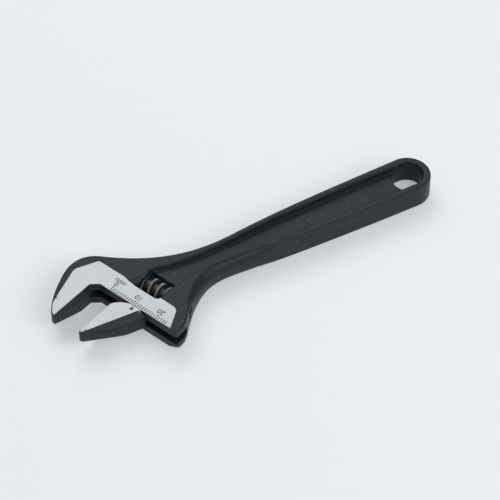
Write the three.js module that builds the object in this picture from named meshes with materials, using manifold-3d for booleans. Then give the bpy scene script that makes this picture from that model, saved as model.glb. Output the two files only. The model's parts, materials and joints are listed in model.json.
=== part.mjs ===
// Adjustable wrench of the thin-jaw, wide-opening kind: 0 to 24 mm across flats, about 146 mm long.
//
// Units are millimetres. Everything is drawn in the head frame: +X is the way the movable jaw slides
// open, +Y runs from the jaw tips towards the handle, +Z is up out of the scale face, and the wrench
// lies with its back on z = 0. Y = 0 is the slide face. The last lines turn the finished group so that
// the handle lies along X, with the origin at the middle of its base.

import * as THREE from 'three';
import { mergeVertices } from 'three/addons/utils/BufferGeometryUtils.js';
import Module from 'manifold-3d';

// ---- driving dimensions ---------------------------------------------------------------------------

const THICKNESS = 9.6;
const MID_Z = THICKNESS / 2;
const HEAD_ANGLE = THREE.MathUtils.degToRad(20);
const RUNNING_GAP = 0.3;

const JAW_REACH = 20;
const FIXED_FACE_X = -8;
const OPENING = 11.1;
const TIP_THICKNESS = 5;
const TAPER_START_Y = -7;

const SLIDE_END_X = 28.4;
const THROAT_RADIUS = 3.9;

const SLOT_HEIGHT = 3.5;
const BORE_Y = 6.4;
const BORE_RADIUS = 3.3;
const BORE_END_X = -13.6;
const RAIL_RADIUS = BORE_RADIUS - RUNNING_GAP;

const WINDOW = { x0: 3.5, x1: 14.6, y0: 6.9, y1: 16.9 };

const WORM_Y = 12.5;
const WORM_CREST_RADIUS = 4;
const WORM_ROOT_RADIUS = 2.8;
const WORM_LEAD = 3.2;
const WORM_CREST_WIDTH = 0.8;
const WORM_ROOT_GAP = 1.2;
const WORM_BORE_RADIUS = 1.4;
const WORM_LENGTH = WINDOW.x1 - WINDOW.x0 - 2 * RUNNING_GAP;

const PIN_RADIUS = 1.1;
const PIN_HEAD_RADIUS = 1.4;
const PIN_START_X = -1.4;
const PIN_HEAD_X = 19.8;
const PIN_END_X = 22.6;

const SPRING_WIRE_RADIUS = 0.2;
const SPRING_COIL_RADIUS = 1.65;
const SPRING_SEAT_RADIUS = 2.15;
const SPRING_SEAT_DEPTH = 3;
const SPRING_TURNS = 3;

const HANDLE_ORIGIN_X = 4.47;
const HOLE_S = 114.7;
const HOLE_T = 0.4;
const END_RADIUS = 8.1;
const HOLE_RADIUS = 5.5;
const RECESS_DEPTH = 3;
const RECESS_DEPTH_AT_WINDOW = 1;
const RECESS_START_S = 20;
const RECESS_FULL_S = 60;

// The movable jaw's parts, along X from its own gripping face.
const WEB_START = 0.6;
const WEB_END = 11.2;
const WEB_TIP_Y = -1.3;
const RAIL_START = -5;
const RAIL_END = 15.2;
const BEVEL_LINE = { x: 2.6, y: -16.1, lean: THREE.MathUtils.degToRad(23.4) };

const OVERCUT = 1;

// ---- materials ------------------------------------------------------------------------------------

const blackForging = new THREE.MeshStandardMaterial({ color: 0x232427, roughness: 0.5, metalness: 0.6 });
const groundSteel = new THREE.MeshStandardMaterial({ color: 0xb4b6b8, roughness: 0.35, metalness: 1 });
const oiledSteel = new THREE.MeshStandardMaterial({ color: 0x4a4b4e, roughness: 0.4, metalness: 0.9 });
const springSteel = new THREE.MeshStandardMaterial({ color: 0x8d8f92, roughness: 0.3, metalness: 1 });

// ---- solids ---------------------------------------------------------------------------------------

const wasm = await Module();
wasm.setup();

// A closed three.js geometry as a solid that can be joined and cut.
function solid(geometry) {
  const bare = geometry.clone();
  bare.deleteAttribute('normal');
  bare.deleteAttribute('uv');
  const merged = mergeVertices(bare, 1e-4);
  const mesh = new wasm.Mesh({
    numProp: 3,
    vertProperties: new Float32Array(merged.attributes.position.array),
    triVerts: new Uint32Array(merged.index.array),
  });
  mesh.merge();
  return new wasm.Manifold(mesh);
}

function namedMesh(name, shapeSolid, material) {
  const result = shapeSolid.getMesh();
  const geometry = new THREE.BufferGeometry();
  geometry.setAttribute('position', new THREE.BufferAttribute(new Float32Array(result.vertProperties), 3));
  geometry.setIndex(new THREE.BufferAttribute(new Uint32Array(result.triVerts), 1));
  geometry.computeVertexNormals();
  const mesh = new THREE.Mesh(geometry, material);
  mesh.name = name;
  return mesh;
}

function box(x0, x1, y0, y1, z0, z1) {
  const geometry = new THREE.BoxGeometry(x1 - x0, y1 - y0, z1 - z0);
  geometry.translate((x0 + x1) / 2, (y0 + y1) / 2, (z0 + z1) / 2);
  return solid(geometry);
}

// A round bar along X at mid thickness.
function bar(radius, x0, x1, y, sides = 32) {
  const geometry = new THREE.CylinderGeometry(radius, radius, x1 - x0, sides);
  geometry.rotateZ(-Math.PI / 2);
  geometry.translate((x0 + x1) / 2, y, MID_Z);
  return solid(geometry);
}

function plate(shape, z0, z1, curveSegments = 14) {
  const geometry = new THREE.ExtrudeGeometry(shape, { depth: z1 - z0, bevelEnabled: false, curveSegments });
  geometry.translate(0, 0, z0);
  return solid(geometry);
}

// A profile drawn in (distance along a line, height), carried sideways. The line starts at (x, y) and
// runs in the given direction; the profile is centred on the line.
function sideProfile(points, width, x, y, direction) {
  const shape = new THREE.Shape(points.map(([along, height]) => new THREE.Vector2(along, height)));
  const geometry = new THREE.ExtrudeGeometry(shape, { depth: width, bevelEnabled: false });
  geometry.translate(0, 0, -width / 2);
  geometry.rotateX(Math.PI / 2);
  geometry.rotateZ(direction);
  geometry.translate(x, y, 0);
  return solid(geometry);
}

// The handle frame: s along the handle's centre line, t to its left, the fixed jaw's side.
const HANDLE_DIRECTION = Math.PI / 2 - HEAD_ANGLE;

function fromHandle(s, t) {
  const along = new THREE.Vector2(Math.cos(HANDLE_DIRECTION), Math.sin(HANDLE_DIRECTION));
  const left = new THREE.Vector2(-along.y, along.x);
  return new THREE.Vector2(HANDLE_ORIGIN_X, 0).addScaledVector(along, s).addScaledVector(left, t);
}

function curveTo(shape, control1, control2, end) {
  shape.bezierCurveTo(control1.x, control1.y, control2.x, control2.y, end.x, end.y);
}

function straightTo(shape, point) {
  shape.lineTo(point.x, point.y);
}

// ---- the adjusting worm's thread ------------------------------------------------------------------

// Cross-section of a single-start thread: the radius goes round from the root to the crest and back,
// because one turn of the section is one lead of the thread. Grow widens the thread on every side.
function threadSection(grow) {
  const crestHalf = (WORM_CREST_WIDTH / 2 + grow) / WORM_LEAD;
  const rootHalf = ((WORM_LEAD - WORM_ROOT_GAP) / 2 + grow) / WORM_LEAD;
  const radiusAt = (turn) => {
    const blend = THREE.MathUtils.clamp((rootHalf - Math.abs(turn)) / (rootHalf - crestHalf), 0, 1);
    return THREE.MathUtils.lerp(WORM_ROOT_RADIUS, WORM_CREST_RADIUS, blend) + grow;
  };
  const arcTurns = (from, to, count) => Array.from({ length: count }, (_, i) => from + ((to - from) * i) / count);
  const turns = [
    ...arcTurns(-0.5, -rootHalf, 4),
    ...arcTurns(-rootHalf, -crestHalf, 3),
    ...arcTurns(-crestHalf, crestHalf, 8),
    ...arcTurns(crestHalf, rootHalf, 3),
    ...arcTurns(rootHalf, 0.5, 4),
  ];
  const corner = (turn) => {
    const angle = 2 * Math.PI * turn;
    return new THREE.Vector2(Math.cos(angle), Math.sin(angle)).multiplyScalar(radiusAt(turn));
  };
  return new THREE.Shape(turns.map(corner));
}

// The section extruded straight and then twisted one turn per lead, which makes the exact helicoid.
// The twist depends on X itself, so two threads cut at different places stay in step.
function thread(x0, x1, grow) {
  const stepsPerTurn = 18;
  const steps = Math.ceil(((x1 - x0) / WORM_LEAD) * stepsPerTurn);
  const geometry = new THREE.ExtrudeGeometry(threadSection(grow), { depth: x1 - x0, steps, bevelEnabled: false });
  geometry.rotateX(Math.PI / 2);
  geometry.rotateZ(Math.PI / 2);
  geometry.translate(x0, 0, 0);
  const position = geometry.attributes.position;
  const point = new THREE.Vector3();
  const axis = new THREE.Vector3(1, 0, 0);
  for (let i = 0; i < position.count; i += 1) {
    point.fromBufferAttribute(position, i);
    point.applyAxisAngle(axis, (2 * Math.PI * point.x) / WORM_LEAD);
    position.setXYZ(i, point.x, point.y + WORM_Y, point.z + MID_Z);
  }
  return solid(geometry);
}

// ---- body -----------------------------------------------------------------------------------------

function bodyOutline() {
  const tip = -JAW_REACH;
  const end = fromHandle(HOLE_S, HOLE_T);
  const shape = new THREE.Shape();
  shape.moveTo(FIXED_FACE_X, tip);
  shape.lineTo(FIXED_FACE_X, -THROAT_RADIUS);
  shape.absarc(FIXED_FACE_X + THROAT_RADIUS, -THROAT_RADIUS, THROAT_RADIUS, Math.PI, Math.PI / 2, true);
  shape.lineTo(SLIDE_END_X - 0.6, 0);
  shape.quadraticCurveTo(SLIDE_END_X, 0, SLIDE_END_X, 0.6);
  shape.lineTo(SLIDE_END_X, 3.4);
  shape.bezierCurveTo(28.3, 5.2, 27, 7.4, 25.4, 9.9);
  curveTo(shape, new THREE.Vector2(20.9, 18.6), new THREE.Vector2(18.9, 27.3), fromHandle(40, -4.5));
  curveTo(shape, fromHandle(54, -4.6), fromHandle(84, -7), fromHandle(HOLE_S, HOLE_T - END_RADIUS));
  shape.absarc(end.x, end.y, END_RADIUS, HANDLE_DIRECTION - Math.PI / 2, HANDLE_DIRECTION + Math.PI / 2, false);
  curveTo(shape, fromHandle(92, 8.6), fromHandle(68, 9.1), fromHandle(46, 7.5));
  curveTo(shape, fromHandle(30.4, 6.3), fromHandle(17.6, 9.6), fromHandle(3.3, 21.1));
  curveTo(shape, fromHandle(-5.3, 28), fromHandle(-12.8, 19.3), fromHandle(-14.4, 18));
  curveTo(shape, fromHandle(-15.1, 17.4), fromHandle(-22, 11), fromHandle(-23.5, 6));
  return shape;
}

// The hollow in one face of the handle. Its floor is shallow at the worm window and sinks along the
// neck, and it runs out into the hang hole.
function handleRecess() {
  const outline = new THREE.Shape();
  const start = fromHandle(15.6, 6.7);
  outline.moveTo(start.x, start.y);
  straightTo(outline, fromHandle(19.3, -3.8));
  straightTo(outline, fromHandle(48, -2.6));
  straightTo(outline, fromHandle(100, -5.2));
  straightTo(outline, fromHandle(HOLE_S, HOLE_T - HOLE_RADIUS));
  straightTo(outline, fromHandle(HOLE_S, HOLE_T + HOLE_RADIUS));
  curveTo(outline, fromHandle(95, 6.3), fromHandle(72, 6.8), fromHandle(52, 5.5));
  curveTo(outline, fromHandle(42, 4.6), fromHandle(28, 3.4), start);
  const ramp = [
    [RECESS_START_S / 2, THICKNESS + OVERCUT],
    [RECESS_START_S / 2, THICKNESS - RECESS_DEPTH_AT_WINDOW],
    [RECESS_START_S, THICKNESS - RECESS_DEPTH_AT_WINDOW],
    [RECESS_FULL_S, THICKNESS - RECESS_DEPTH],
    [HOLE_S, THICKNESS - RECESS_DEPTH],
    [HOLE_S, THICKNESS + OVERCUT],
  ];
  const depthProfile = sideProfile(ramp, 4 * END_RADIUS, HANDLE_ORIGIN_X, 0, HANDLE_DIRECTION);
  return plate(outline, MID_Z, THICKNESS + OVERCUT).intersect(depthProfile);
}

// The underside of both jaws slopes up to the thin tips.
function tipTaper(x0, x1) {
  const rise = THICKNESS - TIP_THICKNESS;
  const run = JAW_REACH + TAPER_START_Y;
  const beyond = (run + 2) / run;
  const wedge = [
    [0, 0],
    [run * beyond, rise * beyond],
    [run * beyond, -OVERCUT],
    [0, -OVERCUT],
  ];
  return sideProfile(wedge, x1 - x0, (x0 + x1) / 2, TAPER_START_Y, -Math.PI / 2);
}

function hangHole() {
  const center = fromHandle(HOLE_S, HOLE_T);
  const geometry = new THREE.CylinderGeometry(HOLE_RADIUS, HOLE_RADIUS, THICKNESS + 2 * OVERCUT, 40);
  geometry.rotateX(Math.PI / 2);
  geometry.translate(center.x, center.y, MID_Z);
  return solid(geometry);
}

function makeBody() {
  const far = SLIDE_END_X + 10;
  const recess = handleRecess();
  const slotLow = MID_Z - SLOT_HEIGHT / 2;
  const slotStart = FIXED_FACE_X + 0.1;
  const slot = box(slotStart, far, -THROAT_RADIUS, BORE_Y, slotLow, slotLow + SLOT_HEIGHT);
  return plate(bodyOutline(), 0, THICKNESS, 20)
    .subtract(recess)
    .subtract(recess.mirror([0, 0, 1]).translate([0, 0, THICKNESS]))
    .subtract(hangHole())
    .subtract(box(WINDOW.x0, WINDOW.x1, WINDOW.y0, WINDOW.y1, -OVERCUT, THICKNESS + OVERCUT))
    .subtract(bar(BORE_RADIUS, BORE_END_X, far, BORE_Y))
    .subtract(slot)
    .subtract(bar(PIN_RADIUS + RUNNING_GAP, PIN_START_X - RUNNING_GAP, far, WORM_Y, 24))
    .subtract(bar(PIN_HEAD_RADIUS + RUNNING_GAP, PIN_HEAD_X - RUNNING_GAP, far, WORM_Y, 24))
    .subtract(tipTaper(FIXED_FACE_X - 14, FIXED_FACE_X + 1));
}

// ---- movable jaw ----------------------------------------------------------------------------------

// Drawn at x = 0 on its own gripping face, then moved to the opening.
function jawOutline() {
  const shape = new THREE.Shape();
  shape.moveTo(0, -JAW_REACH);
  shape.lineTo(0.9, -JAW_REACH);
  shape.bezierCurveTo(5.6, -14.6, 9.8, -7.2, 11.8, -RUNNING_GAP);
  shape.lineTo(5.3, -RUNNING_GAP);
  shape.bezierCurveTo(2.6, -1.3, 0.9, -2.4, 0, -4.5);
  return shape;
}

// A chamfer along the jaw's outer top edge, which widens from nothing at the tip.
function jawBackBevel(faceX) {
  const edgeDirection = Math.PI / 2 - BEVEL_LINE.lean;
  const size = MID_Z - OVERCUT;
  const wedge = [
    [0, THICKNESS],
    [size, THICKNESS - size],
    [size, THICKNESS + size],
    [-size, THICKNESS + size],
    [-size, THICKNESS + OVERCUT],
    [-OVERCUT, THICKNESS + OVERCUT],
  ];
  return sideProfile(wedge, 3 * JAW_REACH, faceX + BEVEL_LINE.x, BEVEL_LINE.y, edgeDirection - Math.PI / 2);
}

function makeMovableJaw() {
  const faceX = FIXED_FACE_X + OPENING;
  const webHalf = SLOT_HEIGHT / 2 - RUNNING_GAP;
  const bevel = jawBackBevel(faceX);
  const blade = plate(jawOutline(), 0, THICKNESS, 12)
    .translate([faceX, 0, 0])
    .subtract(tipTaper(faceX - OVERCUT, faceX + WEB_END + OVERCUT))
    .subtract(bevel)
    .subtract(bevel.mirror([0, 0, 1]).translate([0, 0, THICKNESS]));
  const web = box(faceX + WEB_START, faceX + WEB_END, WEB_TIP_Y, BORE_Y, MID_Z - webHalf, MID_Z + webHalf);
  const rail = bar(RAIL_RADIUS, faceX + RAIL_START, faceX + RAIL_END, BORE_Y);
  const rack = thread(faceX + RAIL_START - 2, faceX + RAIL_END + 2, RUNNING_GAP);
  return rail.subtract(rack).add(web).add(blade);
}

// ---- worm, pin and spring -------------------------------------------------------------------------

function makeWorm() {
  const x0 = WINDOW.x0 + RUNNING_GAP;
  const x1 = x0 + WORM_LENGTH;
  return thread(x0, x1, 0)
    .subtract(bar(WORM_BORE_RADIUS, x0 - OVERCUT, x1 + OVERCUT, WORM_Y, 24))
    .subtract(bar(SPRING_SEAT_RADIUS, x1 - SPRING_SEAT_DEPTH, x1 + OVERCUT, WORM_Y, 24));
}

function makePin() {
  return bar(PIN_RADIUS, PIN_START_X, PIN_HEAD_X + 0.5, WORM_Y, 24)
    .add(bar(PIN_HEAD_RADIUS, PIN_HEAD_X, PIN_END_X, WORM_Y, 24));
}

class CoilPath extends THREE.Curve {
  constructor(x0, x1) {
    super();
    this.x0 = x0;
    this.x1 = x1;
  }

  getPoint(t, target = new THREE.Vector3()) {
    const angle = 2 * Math.PI * SPRING_TURNS * t;
    return target.set(
      THREE.MathUtils.lerp(this.x0, this.x1, t),
      WORM_Y + SPRING_COIL_RADIUS * Math.cos(angle),
      MID_Z + SPRING_COIL_RADIUS * Math.sin(angle),
    );
  }
}

function makeSpring() {
  const reach = SPRING_WIRE_RADIUS + RUNNING_GAP;
  const wormEnd = WINDOW.x0 + RUNNING_GAP + WORM_LENGTH;
  const path = new CoilPath(wormEnd - SPRING_SEAT_DEPTH + reach, WINDOW.x1 - reach);
  const section = new THREE.Shape().absarc(0, 0, SPRING_WIRE_RADIUS, 0, 2 * Math.PI, false);
  return solid(new THREE.ExtrudeGeometry(section, {
    extrudePath: path,
    steps: 16 * SPRING_TURNS,
    curveSegments: 4,
    bevelEnabled: false,
  }));
}

// ---- assembly -------------------------------------------------------------------------------------

const wrench = new THREE.Group();
wrench.add(
  namedMesh('body', makeBody(), blackForging),
  namedMesh('movable_jaw', makeMovableJaw(), groundSteel),
  namedMesh('worm', makeWorm(), oiledSteel),
  namedMesh('worm_pin', makePin(), oiledSteel),
  namedMesh('worm_spring', makeSpring(), springSteel),
);

wrench.rotation.z = -HANDLE_DIRECTION;
wrench.updateMatrixWorld(true);
const extent = new THREE.Box3().setFromObject(wrench, true);
wrench.position.set(-(extent.min.x + extent.max.x) / 2, -(extent.min.y + extent.max.y) / 2, -extent.min.z);

export default wrench;
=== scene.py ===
"""Adjustable wrench: the forging, its sliding jaw, the knurled worm, its pin and its spring.

Sizes are worked out in millimetres in the head frame and placed in metres in the object's frame. The
head frame's u runs the way the jaw slides open, v from the jaw tips towards the handle, z up out of
the scale face. The fixed jaw's face is at u = -8 and the slide face at v = 0.
"""
import json
import math

import bpy
import numpy as np
from mathutils import Matrix, Vector
from mathutils.geometry import delaunay_2d_cdt


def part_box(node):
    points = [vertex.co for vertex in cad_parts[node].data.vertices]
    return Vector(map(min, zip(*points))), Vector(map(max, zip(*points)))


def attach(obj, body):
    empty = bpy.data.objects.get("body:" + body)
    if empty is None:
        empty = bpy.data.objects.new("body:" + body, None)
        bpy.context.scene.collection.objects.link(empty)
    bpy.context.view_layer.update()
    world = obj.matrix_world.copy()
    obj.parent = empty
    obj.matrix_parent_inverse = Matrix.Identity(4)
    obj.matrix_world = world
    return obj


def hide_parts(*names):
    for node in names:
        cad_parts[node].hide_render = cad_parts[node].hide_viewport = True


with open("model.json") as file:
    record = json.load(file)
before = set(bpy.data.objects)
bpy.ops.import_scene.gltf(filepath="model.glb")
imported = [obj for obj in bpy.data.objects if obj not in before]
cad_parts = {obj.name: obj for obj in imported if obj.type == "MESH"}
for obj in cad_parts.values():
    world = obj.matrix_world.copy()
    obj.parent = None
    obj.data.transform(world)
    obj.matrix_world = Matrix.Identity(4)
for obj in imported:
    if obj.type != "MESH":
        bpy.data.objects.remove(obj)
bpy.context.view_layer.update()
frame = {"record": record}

bl_info = {
    "name": "Adjustable Wrench",
    "version": (1, 0, 0),
    "blender": (4, 5, 0),
    "location": "3D View > Sidebar > Wrench",
    "description": "Builds a thin-jaw adjustable wrench around its mechanical frame",
    "category": "Add Mesh",
}

# ---- frame ----------------------------------------------------------------------------------------

MM = 0.001
JOINTS = {joint["name"]: joint for joint in frame["record"]["behaviour"]["joints"]}
SLIDE = np.array(JOINTS["jaw_slide"]["axis"])
ACROSS = np.array([-SLIDE[1], SLIDE[0], 0.0])
WORM_V = 12.5
WORM_AXIS_POINT = np.array(JOINTS["worm_spin"]["pos_m"]) / MM
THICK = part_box("body")[1].z / MM
MID_Z = THICK / 2
HEAD_ORIGIN = WORM_AXIS_POINT - WORM_V * ACROSS - np.array([0, 0, MID_Z])

# Shared head sizes, in head-frame millimetres.
FIXED_FACE_U = -8.0
OPENING = 11.1
JAW_FACE_U = FIXED_FACE_U + OPENING
SCALE_ZERO_U = -1.0
JAW_REACH = 20.0
THROAT_CUT = (2.6, 2.3)
THROAT_TURN_SHARE = 0.16
SLIDE_END_U = 28.4
TAPER_START_V = -7.0
TIP_THICK = 5.0
SLOT_HEIGHT = 3.5
BORE_V = 6.4
BORE_RADIUS = 3.3
BORE_START_U = -13.6
RUNNING_GAP = 0.12
WINDOW = ((3.5, 6.9), (14.6, 16.9))
WORM_LEAD = 3.2
WORM_CREST_TOP_U = 4.0
WORM_BORE = 1.2
WORM_SEAT = 2.1
WORM_SEAT_DEPTH = 2.8

# The worm's pin and its hole: (u, radius) from the inner end out.
PIN = ((-1.4, 0.8), (-1.1, 1.1), (19.9, 1.1), (20.1, 1.4), (21.35, 1.4), (21.6, 1.15))
PIN_HOLE = ((-1.8, 1.2), (19.6, 1.2), (19.6, 1.5), (22.2, 1.5), (22.6, 1.85))

# Handle sizes, along s and across t from the handle's centre line.
HANDLE_ORIGIN_U = 4.47
HEAD_ANGLE = math.radians(20)
HOLE_S = 114.7
HOLE_T = 0.4
END_RADIUS = 8.1
HOLE_RADIUS = 5.5


def place(points):
    """Head-frame millimetres to frame metres: origin + u * slide axis + v * across axis + z up."""
    points = np.asarray(points, float)
    turned = points[:, :1] * SLIDE + points[:, 1:2] * ACROSS + points[:, 2:3] * np.array([0, 0, 1.0])
    return (HEAD_ORIGIN + turned) * MM


def from_handle(s, t):
    """Handle coordinates to head-frame (u, v): the centre line leans by the head angle."""
    along = np.array([math.sin(HEAD_ANGLE), math.cos(HEAD_ANGLE)])
    left = np.array([-along[1], along[0]])
    return np.array([HANDLE_ORIGIN_U, 0.0]) + s * along + t * left


def handle_s(points):
    """How far along the handle's centre line each (u, v) point is."""
    shifted = points - np.array([HANDLE_ORIGIN_U, 0.0])
    return shifted[:, 0] * math.sin(HEAD_ANGLE) + shifted[:, 1] * math.cos(HEAD_ANGLE)


# ---- properties -----------------------------------------------------------------------------------

def length_setting(name, description, millimetres):
    """A length property that can't be negative, with its default in millimetres."""
    return bpy.props.FloatProperty(name=name, description=description, default=millimetres * MM,
                                   min=0.0, subtype="DISTANCE", unit="LENGTH")


class WrenchForgingSettings(bpy.types.PropertyGroup):
    """Sizes and colours of the forging."""
    handle_edge: length_setting(
        "Handle edge", "Radius of the handle's rounded outer edges", 0.5)
    back_bevel: length_setting(
        "Back bevel", "Width of the soft bevel round the head", 1.6)
    back_drop: length_setting(
        "Back bevel drop", "How far the bevel round the head falls", 1.0)
    pad_lift: length_setting(
        "Pad lift", "How far the ground scale pad stands above the forging", 0.25)
    recess_depth: length_setting(
        "Recess depth", "Depth of the hollow along the handle", 2.65)
    black: bpy.props.FloatVectorProperty(
        name="Black finish", description="Colour of the blackened forging",
        default=(0.013, 0.019, 0.027), size=3, subtype="COLOR")
    steel: bpy.props.FloatVectorProperty(
        name="Ground steel", description="Colour of the ground scale pad",
        default=(0.46, 0.47, 0.48), size=3, subtype="COLOR")


class WrenchWormSettings(bpy.types.PropertyGroup):
    """Sizes of the knurled worm."""
    crest_radius: length_setting(
        "Crest radius", "Radius over the thread's crest", 4.0)
    root_radius: length_setting(
        "Root radius", "Radius at the bottom of the thread", 2.8)
    crest_width: length_setting(
        "Crest width", "Width of the thread's knurled top", 0.75)
    root_gap: length_setting(
        "Root gap", "Width of the flat between two turns of the thread", 1.45)
    serrations: bpy.props.IntProperty(
        name="Serrations", description="Notches round one turn of the crest",
        default=56, min=3)
    notch_depth: length_setting(
        "Notch depth", "Depth of one serration", 0.26)


class WrenchMarkSettings(bpy.types.PropertyGroup):
    """Sizes of the scale's marks."""
    tick_width: length_setting(
        "Tick width", "Width of one scale line", 0.33)
    numeral_height: length_setting(
        "Numeral height", "Height of the scale's numerals", 2.0)
    last_tick: bpy.props.IntProperty(
        name="Last tick", description="Last millimetre that the scale marks",
        default=24, min=1)


class WrenchStageSettings(bpy.types.PropertyGroup):
    """Floor, light and camera."""
    floor_colour: bpy.props.FloatVectorProperty(
        name="Floor", description="Colour of the floor",
        default=(0.70, 0.705, 0.715), size=3, subtype="COLOR")
    world_strength: bpy.props.FloatProperty(
        name="Ambient light", description="Strength of the even light from all round",
        default=0.24, min=0.0)
    camera_distance: bpy.props.FloatProperty(
        name="Camera distance", description="From the camera to the point that it looks at",
        default=0.82, min=0.01, subtype="DISTANCE", unit="LENGTH")
    camera_elevation: bpy.props.FloatProperty(
        name="Camera elevation", description="How steeply the camera looks down",
        default=math.radians(47.4), subtype="ANGLE", unit="ROTATION")


# ---- plane curves ---------------------------------------------------------------------------------

def straight(a, b, step=0.6):
    """Points from a to b, b left out: a + t (b - a)."""
    a, b = np.asarray(a, float), np.asarray(b, float)
    count = max(1, math.ceil(np.hypot(*(b - a)) / step))
    t = np.arange(count)[:, None] / count
    return a + t * (b - a)


def bezier(a, c1, c2, b, step=0.5):
    """Cubic curve from a to b, b left out: the cubic Bernstein sum of a, its two controls and b."""
    a, c1, c2, b = (np.asarray(p, float) for p in (a, c1, c2, b))
    length = np.hypot(*(c1 - a)) + np.hypot(*(c2 - c1)) + np.hypot(*(b - c2))
    count = max(4, math.ceil(length / step))
    t = np.arange(count)[:, None] / count
    return (1 - t) ** 3 * a + 3 * (1 - t) ** 2 * t * c1 + 3 * (1 - t) * t ** 2 * c2 + t ** 3 * b


def arc(center, radius, start, stop, step=0.4):
    """Circle from angle start to stop, stop left out: centre + radius (cos, sin)."""
    count = max(3, math.ceil(abs(stop - start) * radius / step))
    angle = start + (stop - start) * np.arange(count) / count
    return np.asarray(center, float) + radius * np.stack([np.cos(angle), np.sin(angle)], axis=1)


def through(*points, step=0.8):
    """Smooth curve through points, the last left out: each span is a cubic whose end tangents are
    half of the step between the point's two neighbours."""
    p = np.array([points[0], *points, points[-1]], float)
    spans = zip(p[:-3], p[1:-2], p[2:-1], p[3:])
    return np.concatenate([bezier(b, b + (c - a) / 6, c - (d - b) / 6, c, step) for a, b, c, d in spans])


def rounded(corners, step=0.5):
    """Closed polygon whose corners (u, v, radius) are rounded: each corner becomes a parabola that
    starts and ends at the corner's radius from it."""
    points = np.array([corner[:2] for corner in corners], float)
    pieces = []
    for i, (u, v, radius) in enumerate(corners):
        here = np.array([u, v])
        before = points[i - 1] - here
        after = points[(i + 1) % len(points)] - here
        start = here + before / np.hypot(*before) * radius
        stop = here + after / np.hypot(*after) * radius
        following = points[(i + 1) % len(points)]
        next_radius = corners[(i + 1) % len(points)][2]
        next_start = following - after / np.hypot(*after) * next_radius
        if radius > 0:
            pieces.append(bezier(start, (start + 2 * here) / 3, (stop + 2 * here) / 3, stop, step))
        pieces.append(straight(stop, next_start))
    return np.concatenate(pieces)


def inward_normals(points):
    """Left-hand unit normals of a closed polyline, from its central differences."""
    tangent = np.roll(points, -1, axis=0) - np.roll(points, 1, axis=0)
    tangent /= np.linalg.norm(tangent, axis=1, keepdims=True)
    return np.stack([-tangent[:, 1], tangent[:, 0]], axis=1)


def offset(points, distance):
    """A closed polyline moved inwards by a distance along its normals."""
    return points + inward_normals(points) * distance


def beyond_line(points, line):
    """How far each point lies to the right of a line, looking from its first point to its second."""
    (u0, v0), (u1, v1) = line
    along = np.array([u1 - u0, v1 - v0])
    along = along / np.hypot(*along)
    return (points - np.array([u0, v0])) @ np.array([along[1], -along[0]])


def signed_distance(points, polygon, chunk=3000):
    """Distance from each point to a closed polygon, positive inside. Inside is an odd number of
    polygon edges crossed by a ray along +u."""
    a = polygon
    b = np.roll(polygon, -1, axis=0)
    edge = b - a
    length2 = np.maximum((edge ** 2).sum(axis=1), 1e-12)
    result = np.empty(len(points))
    for start in range(0, len(points), chunk):
        p = points[start:start + chunk, None, :]
        t = np.clip(((p - a) * edge).sum(axis=2) / length2, 0, 1)
        nearest = a + t[..., None] * edge
        distance = np.sqrt(((p - nearest) ** 2).sum(axis=2)).min(axis=1)
        rises = (a[:, 1] > p[..., 1]) != (b[:, 1] > p[..., 1])
        slope = np.where(edge[:, 1] == 0, 1e-12, edge[:, 1])
        crossing_u = a[:, 0] + (p[..., 1] - a[:, 1]) * edge[:, 0] / slope
        inside = (rises & (p[..., 0] < crossing_u)).sum(axis=1) % 2 == 1
        result[start:start + chunk] = np.where(inside, distance, -distance)
    return result


# ---- meshes ---------------------------------------------------------------------------------------

SHARP_ANGLE = math.radians(34)


def new_piece(name, points_mm, faces):
    """A smooth-shaded object from head-frame points and faces, with sharp edges where faces turn."""
    mesh = bpy.data.meshes.new(name)
    mesh.from_pydata(place(points_mm).tolist(), [], [list(face) for face in faces])
    mesh.validate()
    piece = bpy.data.objects.new(name, mesh)
    bpy.context.scene.collection.objects.link(piece)
    finish_shading(piece)
    return piece


def finish_shading(piece):
    """Smooth shading, with sharp edges where the faces turn by more than the sharp angle."""
    mesh = piece.data
    mesh.polygons.foreach_set("use_smooth", np.ones(len(mesh.polygons), bool))
    mesh.set_sharp_from_angle(angle=SHARP_ANGLE)
    mesh.update()


def head_points(piece):
    """The piece's vertices back in head-frame millimetres."""
    co = np.empty(len(piece.data.vertices) * 3)
    piece.data.vertices.foreach_get("co", co)
    shifted = co.reshape(-1, 3) / MM - HEAD_ORIGIN
    return np.stack([shifted @ SLIDE, shifted @ ACROSS, shifted[:, 2]], axis=1)


def set_attribute(piece, name, values):
    """Stores one number per vertex under a name that materials can read."""
    layer = piece.data.attributes.new(name, "FLOAT", "POINT")
    layer.data.foreach_set("value", np.asarray(values, np.float32))


def combine(piece, other, operation):
    """Joins or cuts a piece by another closed piece, and removes the other."""
    modifier = piece.modifiers.new("combine", "BOOLEAN")
    modifier.operation = operation
    modifier.solver = "EXACT"
    modifier.object = other
    bpy.context.view_layer.update()
    evaluated = piece.evaluated_get(bpy.context.evaluated_depsgraph_get())
    mesh = bpy.data.meshes.new_from_object(evaluated)
    piece.modifiers.clear()
    piece.data = mesh
    bpy.data.objects.remove(other)
    if len(mesh.polygons) == 0:
        raise RuntimeError(f"{piece.name} is empty after {operation}")
    finish_shading(piece)


def grid_faces(rows, columns, wrap_rows, wrap_columns):
    """Quads of a grid of rows by columns, numbered row by row, joined round where asked."""
    r = np.arange(rows if wrap_rows else rows - 1)
    c = np.arange(columns if wrap_columns else columns - 1)
    row, column = np.meshgrid(r, c, indexing="ij")
    next_row = (row + 1) % rows
    next_column = (column + 1) % columns
    corners = [row * columns + column, row * columns + next_column,
               next_row * columns + next_column, next_row * columns + column]
    return np.stack(corners, axis=-1).reshape(-1, 4)


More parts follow.
